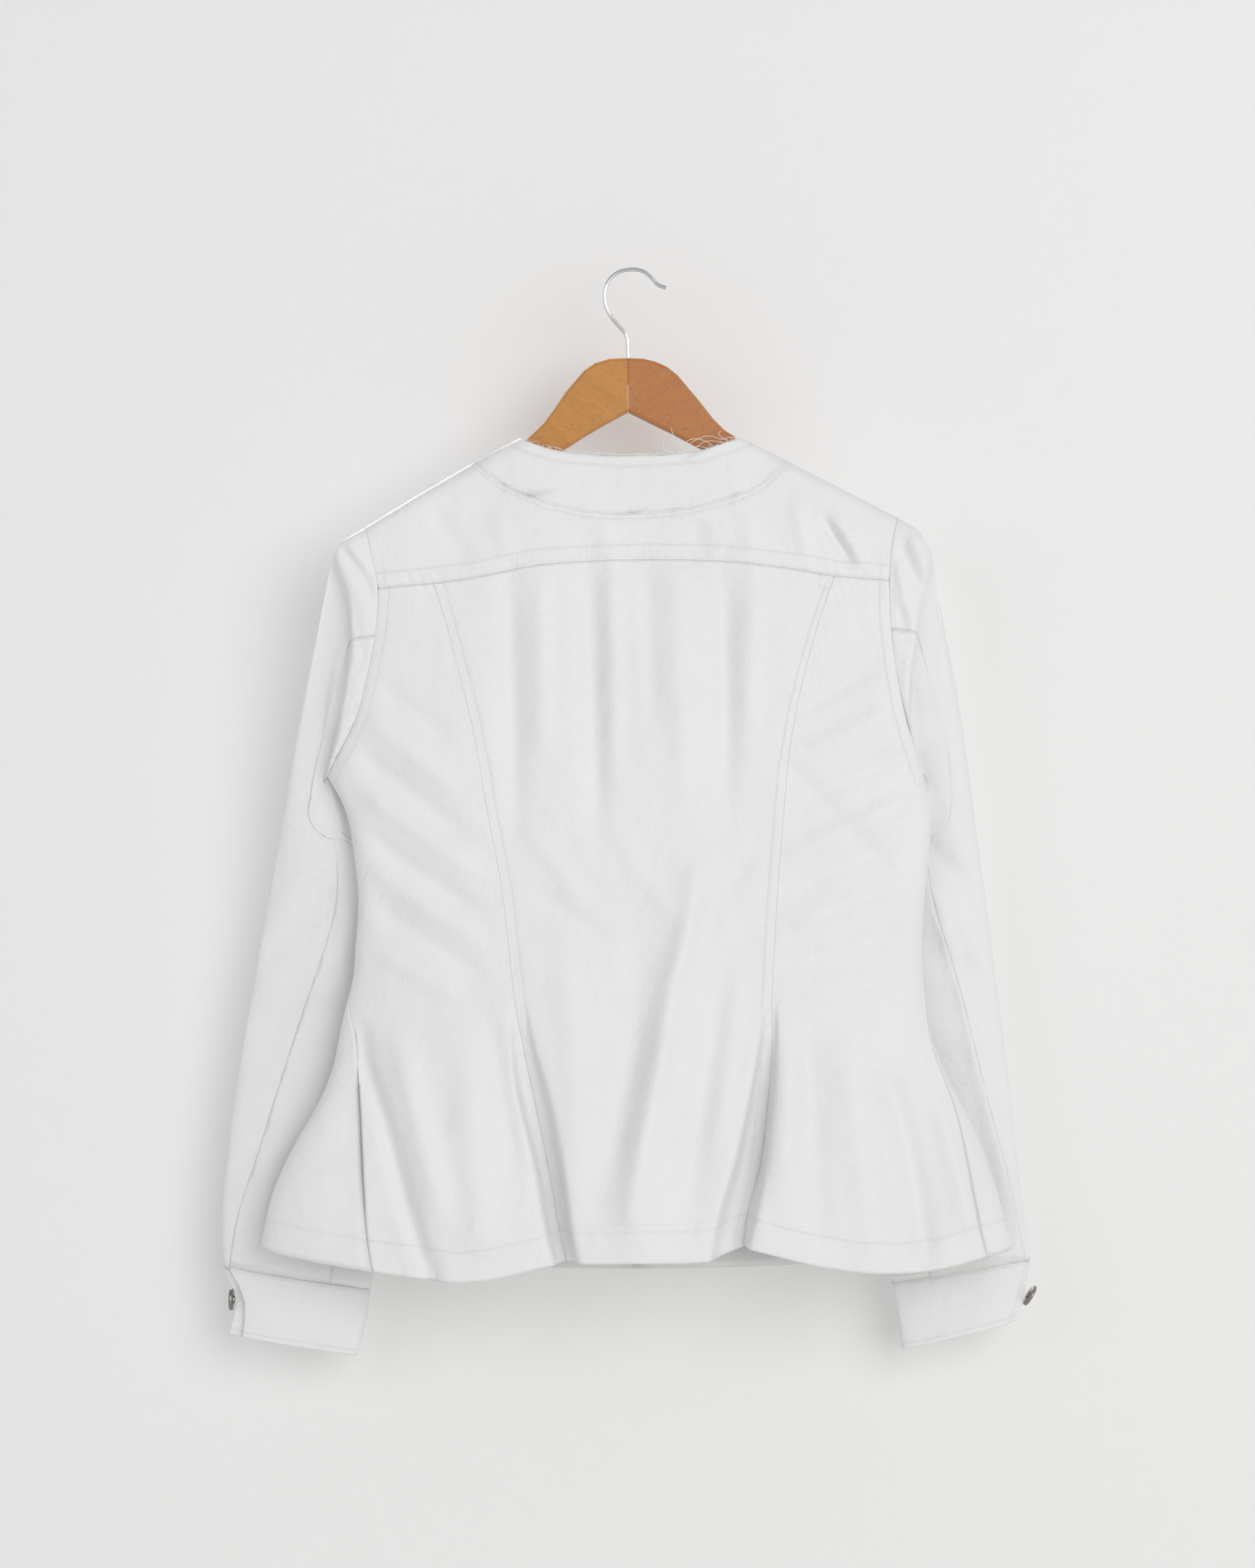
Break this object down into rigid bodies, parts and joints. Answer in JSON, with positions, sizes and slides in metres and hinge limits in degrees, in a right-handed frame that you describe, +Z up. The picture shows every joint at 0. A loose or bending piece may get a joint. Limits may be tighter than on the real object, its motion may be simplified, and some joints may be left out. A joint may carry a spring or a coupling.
{
  "type": "collarless jacket on a hanger",
  "caption": "Short collarless jacket with a yoke, princess seams, open pleats at the hem and buttoned cuffs, hung back outwards on a wooden hanger with a wire hook.",
  "frame": {"origin": "underside of the crown of the hanger's hook, where the hanger rests on what holds it", "axes": "+Z up, -Y out of the jacket's back towards the viewer, +X to the viewer's right"},
  "size_m": [0.6205, 0.0963, 0.8236],
  "materials": {
    "back_yoke": "white cotton sateen, soft sheen",
    "neck_band_back": "white cotton sateen, soft sheen",
    "back_centre": "white cotton sateen, soft sheen",
    "back_side_left": "white cotton sateen, soft sheen",
    "back_side_right": "white cotton sateen, soft sheen",
    "front_left": "white cotton sateen, soft sheen",
    "front_right": "white cotton sateen, soft sheen",
    "neck_band_front_left": "white cotton sateen, soft sheen",
    "neck_band_front_right": "white cotton sateen, soft sheen",
    "front_placket": "white cotton sateen, soft sheen",
    "sleeve_upper_left": "white cotton sateen, soft sheen",
    "sleeve_upper_right": "white cotton sateen, soft sheen",
    "sleeve_under_left": "white cotton sateen, soft sheen",
    "sleeve_under_right": "white cotton sateen, soft sheen",
    "cuff_left": "white cotton sateen, soft sheen",
    "cuff_right": "white cotton sateen, soft sheen",
    "front_button_1": "dark polished metal",
    "front_button_2": "dark polished metal",
    "front_button_3": "dark polished metal",
    "front_button_4": "dark polished metal",
    "front_button_5": "dark polished metal",
    "front_button_6": "dark polished metal",
    "cuff_button_left": "dark polished metal",
    "cuff_button_right": "dark polished metal",
    "hanger_arm_left": "clear varnish, honey brown",
    "hanger_arm_right": "clear varnish, redder brown",
    "hanger_hook": "bright plated wire"
  },
  "bodies": {
    "root": {"back_yoke": "back_yoke", "neck_band_back": "neck_band_back", "back_centre": "back_centre", "back_side_left": "back_side_left", "back_side_right": "back_side_right", "front_left": "front_left", "front_right": "front_right", "neck_band_front_left": "neck_band_front_left", "neck_band_front_right": "neck_band_front_right", "front_placket": "front_placket", "sleeve_upper_left": "sleeve_upper_left", "sleeve_upper_right": "sleeve_upper_right", "sleeve_under_left": "sleeve_under_left", "sleeve_under_right": "sleeve_under_right", "cuff_left": "cuff_left", "cuff_right": "cuff_right", "front_button_1": "front_button_1", "front_button_2": "front_button_2", "front_button_3": "front_button_3", "front_button_4": "front_button_4", "front_button_5": "front_button_5", "front_button_6": "front_button_6", "cuff_button_left": "cuff_button_left", "cuff_button_right": "cuff_button_right", "hanger_arm_left": "hanger_arm_left", "hanger_arm_right": "hanger_arm_right", "hanger_hook": "hanger_hook"}
  },
  "joints": []
}
